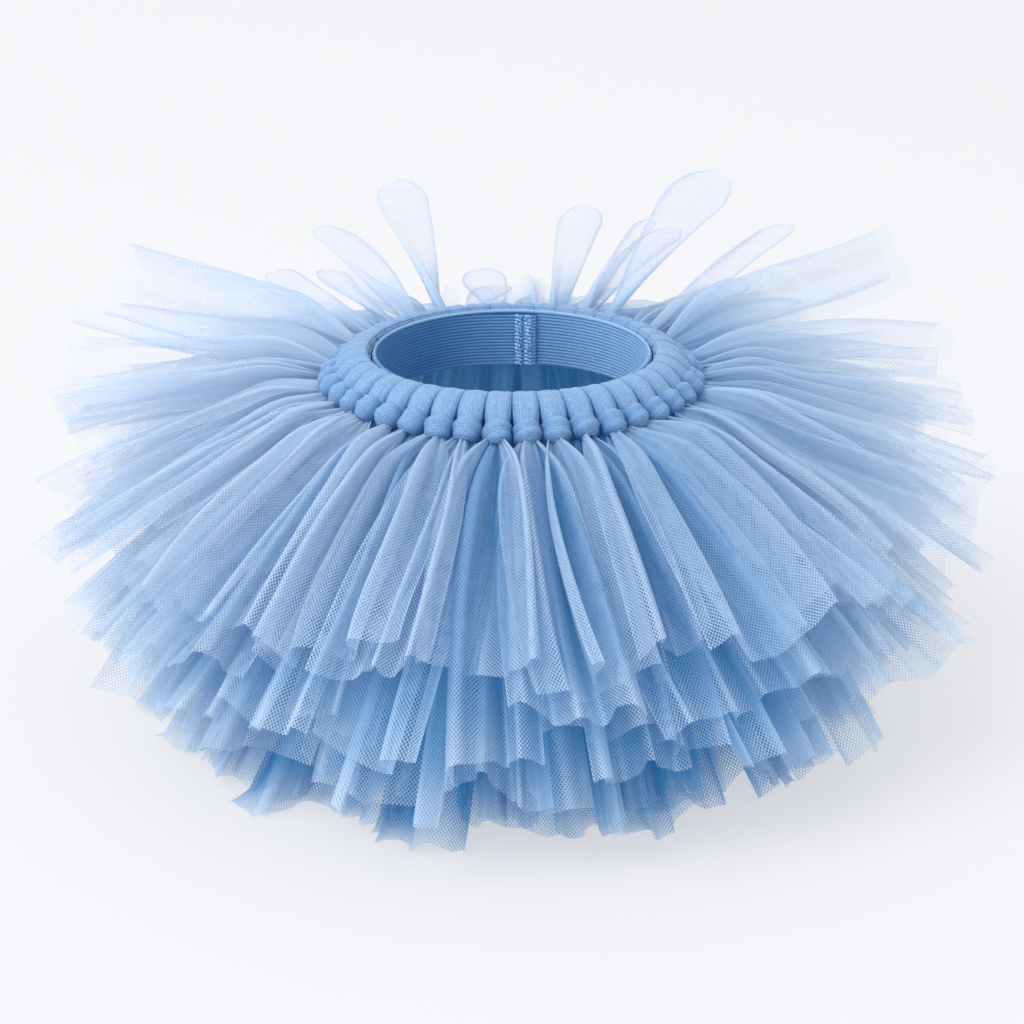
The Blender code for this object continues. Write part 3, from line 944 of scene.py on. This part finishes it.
class TutuTieSettings(bpy.types.PropertyGroup):
    """Sizes and colours of the wraps, the knots and the elastic."""

    # Both the colour between the threads and that of the painted shade on the roll and the knots.
    bundle_colour: colour_property("Bundle", "Colour in the creases", colour_of(46, 108, 162))
    bundle_light_colour: colour_property(
        "Bundle ridge", "Colour on the threads", colour_of(136, 165, 196)
    )
    # Both the colour between stitches and the colour that the painted shade inside the ring mixes
    # towards.
    elastic_colour: colour_property("Elastic", "Colour between stitches", colour_of(6, 102, 170))
    elastic_light_colour: colour_property(
        "Elastic stitch", "Colour of the stitches", colour_of(164, 205, 240)
    )
    lip_colour: colour_property(
        "Elastic edge", "Colour of the elastic's top edge", colour_of(140, 176, 216)
    )
    stitch_radius: bpy.props.FloatProperty(
        name="Stitch radius",
        description="Half thickness of a join stitch",
        default=0.0008,
        unit="LENGTH",
    )


class TutuStageSettings(bpy.types.PropertyGroup):
    """Floor and light."""

    floor_colour: colour_property("Floor", "Colour of the floor", (0.225, 0.225, 0.23, 1.0))
    floor_glow: bpy.props.FloatProperty(
        name="Floor glow", description="Light that the backlit floor gives", default=0.6, min=0.0
    )
    key_power: bpy.props.FloatProperty(
        name="Key light",
        description="Power of the soft light from the upper left",
        default=125.0,
        unit="POWER",
    )
    world_strength: bpy.props.FloatProperty(
        name="Ambient", description="Strength of the light from all round", default=1.18, min=0.0
    )


def finish_cloth(obj, material, nodes):
    """Gives a piece its material, attaches it to the root and hides the CAD nodes that it stands
    for.
    """
    obj.data.materials.append(material)
    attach(obj, "root")
    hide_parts(*nodes)


def strip_turn(number):
    """Turn of a strip's knot. They are numbered from the back's middle, round by -X."""
    return (number + 0.5) * PITCH - 180.0


def layer_grids(name, seed, skip=()):
    """The tails of one layer, one for each knot."""
    table, folds, swing_end, start_out, start_drop, scatter, root_share, painted_shading = LAYERS[name]
    rng = np.random.default_rng(seed)
    grids = []
    for number in range(STRIPS):
        turn = strip_turn(number)
        root, end, length = at_turn(table, turn)
        shift = rng.normal(0.0, scatter)
        uneven = rng.uniform(*LENGTH_SCATTER)
        length += uneven - rng.uniform(0.0, SHORTER) * (abs(turn) > SHORTER_FROM)
        tail = tail_grid(
            rng,
            turn + rng.uniform(-TURN_SCATTER, TURN_SCATTER),
            (start_out, start_drop),
            (root + shift * 0.5, end + shift),
            length,
            (folds, swing_end, root_share),
            painted_shading,
            twist=rng.uniform(-TWIST_SCATTER, TWIST_SCATTER),
            bend=rng.uniform(-BEND_SCATTER, BEND_SCATTER),
            slant=rng.uniform(-SLANT_SCATTER, SLANT_SCATTER),
        )
        if not any(abs(turn - missing) < PITCH / 4 for missing in skip):
            grids.append(tail)
    return grids


def nodes_named(start):
    """The CAD's nodes whose names start so."""
    return sorted(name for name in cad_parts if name.startswith(start))


class TUTU_OT_upper_tails(bpy.types.Operator):
    """Builds the upper tails, the raised tails and the loops at the back"""

    bl_idname = "tutu.upper_tails"
    bl_label = "Upper tails"

    def execute(self, context):
        settings = context.scene.tutu_net
        raised = [row[0] for row in LOOPS + RAISED_TAILS]
        grids = layer_grids("upper", settings.seed, raised)
        rng = np.random.default_rng(settings.seed + RAISED_SEED)
        for turn, tip_turn, rise, length, twist in RAISED_TAILS:
            start, droops = (3.0, KNOT_DROP), (-rise - 3.0, -rise + 3.0)
            bend = math.radians(tip_turn - turn) * (length + KNOT_HALF_DEPTH)
            section = ((0.95, 1.05), (1.36, 1.42), 0.24, 0.0)
            shape = (turn, start, droops, length, section, 0.05, twist, bend)
            grids.append(tail_grid(rng, *shape, sheerness=0.9, ragged=0.0))
        tails = grid_object("upper_tails", grids)
        finish_cloth(tails, bpy.data.materials["tulle_net"], nodes_named("strip_"))
        loops = grid_object("looped_tails", [loop_grid(rng, *row) for row in LOOPS])
        finish_cloth(loops, bpy.data.materials["tulle_net"], nodes_named("strip_"))
        return {"FINISHED"}


class TUTU_OT_lower_tails(bpy.types.Operator):
    """Builds the three layers of tails under the upper one"""

    bl_idname = "tutu.lower_tails"
    bl_label = "Lower tails"

    def execute(self, context):
        settings = context.scene.tutu_net
        net = bpy.data.materials["tulle_net"]
        for number, (name, start, cut_length, density) in enumerate(LOWER_LAYERS):
            grids = layer_grids(name, settings.seed + LOWER_SEED + number)
            fade = density * (1.0 - np.linspace(0.0, 1.0, ROWS)[:, None] ** 8)
            for points, _, closeness, _ in grids:
                height = points[..., 2]
                points[..., 2] = np.maximum(height, FLOOR_LIFT + FLOOR_SLOPE * height)
                closeness += fade
            tails = grid_object(f"{name}_tails", grids)
            finish_cloth(tails, net, nodes_named(f"{start}_tails"))
        return {"FINISHED"}


class TUTU_OT_ties(bpy.types.Operator):
    """Builds the padded roll and the knots"""

    bl_idname = "tutu.ties"
    bl_label = "Roll and knots"

    def execute(self, context):
        rng = np.random.default_rng(context.scene.tutu_net.seed + TIES_SEED)
        turns = [strip_turn(number) for number in range(STRIPS)]
        roll = grid_object("waist_roll", [wrap_grid(rng, turn) for turn in turns], closed=True)
        knots = grid_object("knots", [knot_grid(rng, turn) for turn in turns], closed=True)
        strips = nodes_named("strip_")
        bundle = bundle_material(context.scene.tutu_ties)
        finish_cloth(roll, bundle, strips)
        finish_cloth(knots, bundle, strips)
        return {"FINISHED"}


class TUTU_OT_elastic(bpy.types.Operator):
    """Builds the ribbed elastic, its lapped end and the stitches of the join"""

    bl_idname = "tutu.elastic"
    bl_label = "Elastic"

    def execute(self, context):
        settings = context.scene.tutu_ties
        knit = elastic_material(settings)
        band = grid_object("elastic", [elastic_grid()], closed=True)
        finish_cloth(band, knit, ["elastic_band"])
        lap = grid_object("elastic_lap", [overlap_grid()], closed=True)
        finish_cloth(lap, knit, ["elastic_overlap"])
        thread = thread_material(settings)
        join = stitches(thread, settings.stitch_radius)
        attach(join, "root")
        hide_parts("elastic_overlap")
        return {"FINISHED"}


def aimed(name, data, location, direction):
    """A lamp or camera that looks along a direction."""
    obj = bpy.data.objects.new(name, data)
    obj.location = location
    obj.rotation_mode = "QUATERNION"
    obj.rotation_quaternion = direction.to_track_quat("-Z", "Y")
    bpy.context.scene.collection.objects.link(obj)
    return obj


class TUTU_OT_stage(bpy.types.Operator):
    """Builds the floor, the lights and the camera"""

    bl_idname = "tutu.stage"
    bl_label = "Stage"

    def execute(self, context):
        settings = context.scene.tutu_stage
        scene = context.scene
        mesh = bpy.data.meshes.new("floor")
        corners = [(x * FLOOR_REACH, y * FLOOR_REACH, 0.0) for x, y in FLOOR_CORNERS]
        mesh.from_pydata(corners, [], [(0, 1, 2, 3)])
        floor = bpy.data.objects.new("floor", mesh)
        scene.collection.objects.link(floor)
        paper = bpy.data.materials.new("floor_paper")
        tree = Tree(paper)
        tree.finish(
            tree.principled(
                Base_Color=settings.floor_colour,
                Roughness=0.9,
                Specular_IOR_Level=0.1,
                Emission_Color=FLOOR_GLOW_COLOUR,
                Emission_Strength=settings.floor_glow,
            )
        )
        paper.cycles.emission_sampling = "NONE"
        mesh.materials.append(paper)

        world = bpy.data.worlds.new("studio")
        scene.world = world
        world.use_nodes = True
        background = world.node_tree.nodes["Background"]
        background.inputs["Color"].default_value = SKY_COLOUR
        background.inputs["Strength"].default_value = settings.world_strength
        # The paths that leave the cloth find an even sky, so it needs no light rays of its own.
        world.cycles.sampling_method = "NONE"

        key = bpy.data.lights.new("key", "AREA")
        key.energy = settings.key_power
        key.size = KEY_SIZE
        key.color = KEY_COLOUR
        aimed("key", key, Vector(KEY_PLACE), Vector(KEY_AIM) - Vector(KEY_PLACE))

        camera_data = bpy.data.cameras.new("camera")
        camera_data.sensor_width = SENSOR_WIDTH
        camera_data.lens = FOCAL_PIXELS / IMAGE_PIXELS * SENSOR_WIDTH
        elevation = math.radians(CAMERA_ELEVATION)
        back = Vector((0.0, -math.cos(elevation), math.sin(elevation)))
        location = Vector((0.0, 0.0, CAMERA_TARGET_HEIGHT)) + back * CAMERA_DISTANCE
        scene.camera = aimed("camera", camera_data, location, -back)

        scene.view_settings.view_transform = "Standard"
        scene.cycles.transparent_max_bounces = 24
        scene.cycles.max_bounces = 6
        scene.cycles.diffuse_bounces = 3
        scene.cycles.transmission_bounces = 3
        scene.cycles.use_adaptive_sampling = True
        scene.cycles.adaptive_threshold = 0.1
        return {"FINISHED"}


class TUTU_PT_panel(bpy.types.Panel):
    """Lists the tutu's operators and settings"""

    bl_label = "Tutu"
    bl_idname = "TUTU_PT_panel"
    bl_space_type = "VIEW_3D"
    bl_region_type = "UI"
    bl_category = "Tutu"

    def draw(self, context):
        for operator in OPERATORS:
            self.layout.operator(operator.bl_idname)
        for group in (context.scene.tutu_net, context.scene.tutu_ties, context.scene.tutu_stage):
            for name in group.bl_rna.properties.keys():
                if name not in ("rna_type", "name"):
                    self.layout.prop(group, name)


SETTINGS = (TutuNetSettings, TutuTieSettings, TutuStageSettings)
OPERATORS = (
    TUTU_OT_ties,
    TUTU_OT_upper_tails,
    TUTU_OT_lower_tails,
    TUTU_OT_elastic,
    TUTU_OT_stage,
)


def register():
    for kind in SETTINGS + OPERATORS + (TUTU_PT_panel,):
        bpy.utils.register_class(kind)
    bpy.types.Scene.tutu_net = bpy.props.PointerProperty(type=TutuNetSettings)
    bpy.types.Scene.tutu_ties = bpy.props.PointerProperty(type=TutuTieSettings)
    bpy.types.Scene.tutu_stage = bpy.props.PointerProperty(type=TutuStageSettings)


def unregister():
    del bpy.types.Scene.tutu_net
    del bpy.types.Scene.tutu_ties
    del bpy.types.Scene.tutu_stage
    for kind in reversed(SETTINGS + OPERATORS + (TUTU_PT_panel,)):
        bpy.utils.unregister_class(kind)


def main():
    register()
    net_material(bpy.context.scene.tutu_net)
    for operator in OPERATORS:
        group, name = operator.bl_idname.split(".")
        getattr(getattr(bpy.ops, group), name)()


if __name__ == "__main__":
    main()
